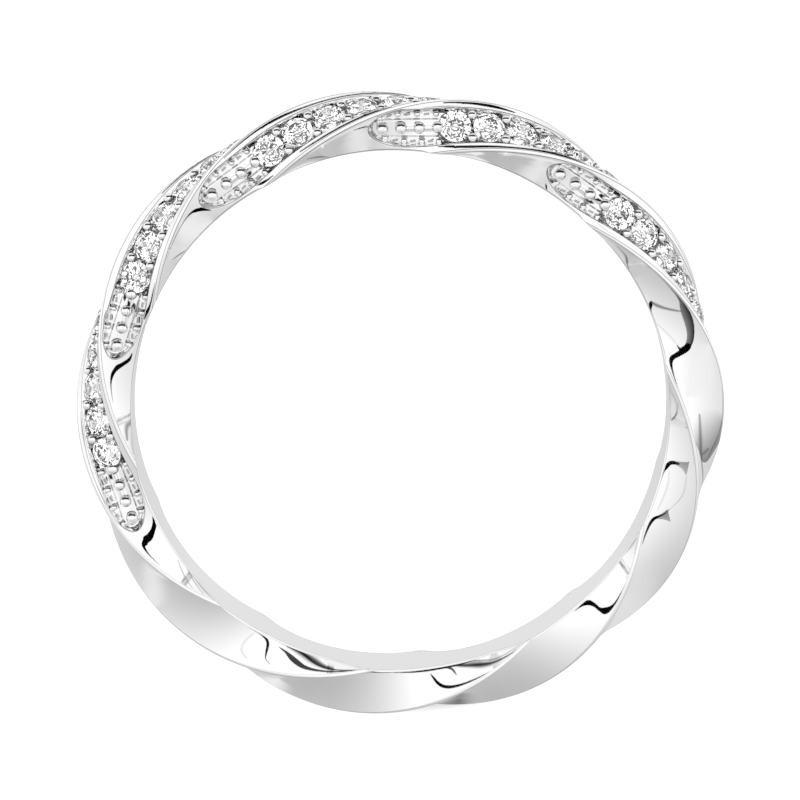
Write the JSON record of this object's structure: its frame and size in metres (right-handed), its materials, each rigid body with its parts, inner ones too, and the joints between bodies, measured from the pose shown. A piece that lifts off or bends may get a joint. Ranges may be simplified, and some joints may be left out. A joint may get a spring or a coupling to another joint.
{
  "type": "eternity band ring",
  "caption": "Twisted polished silver finger ring with bead-set channels of clear stones along its outer faces.",
  "frame": {"origin": "on the ring's axis, at the level of the surface that the ring lies on", "axes": "+Z along the ring's axis; +X towards the first ridge crossing, at the right of the picture; +Y towards the far side of the picture"},
  "size_m": [0.021, 0.0206, 0.0024],
  "materials": {
    "silver": "polished",
    "clear_stone": "faceted and polished"
  },
  "bodies": {
    "root": {"band": "silver", "stone_1_1": "clear_stone", "stone_1_2": "clear_stone", "stone_1_3": "clear_stone", "stone_1_4": "clear_stone", "stone_1_5": "clear_stone", "stone_1_6": "clear_stone", "stone_1_7": "clear_stone", "stone_1_8": "clear_stone", "stone_1_9": "clear_stone", "stone_1_10": "clear_stone", "stone_2_1": "clear_stone", "stone_2_2": "clear_stone", "stone_2_3": "clear_stone", "stone_2_4": "clear_stone", "stone_2_5": "clear_stone", "stone_2_6": "clear_stone", "stone_2_7": "clear_stone", "stone_2_8": "clear_stone", "stone_2_9": "clear_stone", "stone_2_10": "clear_stone", "stone_3_1": "clear_stone", "stone_3_2": "clear_stone", "stone_3_3": "clear_stone", "stone_3_4": "clear_stone", "stone_3_5": "clear_stone", "stone_3_6": "clear_stone", "stone_3_7": "clear_stone", "stone_3_8": "clear_stone", "stone_3_9": "clear_stone", "stone_3_10": "clear_stone", "stone_4_1": "clear_stone", "stone_4_2": "clear_stone", "stone_4_3": "clear_stone", "stone_4_4": "clear_stone", "stone_4_5": "clear_stone", "stone_4_6": "clear_stone", "stone_4_7": "clear_stone", "stone_4_8": "clear_stone", "stone_4_9": "clear_stone", "stone_4_10": "clear_stone", "stone_5_1": "clear_stone", "stone_5_2": "clear_stone", "stone_5_3": "clear_stone", "stone_5_4": "clear_stone", "stone_5_5": "clear_stone", "stone_5_6": "clear_stone", "stone_5_7": "clear_stone", "stone_5_8": "clear_stone", "stone_5_9": "clear_stone", "stone_5_10": "clear_stone"}
  },
  "joints": []
}
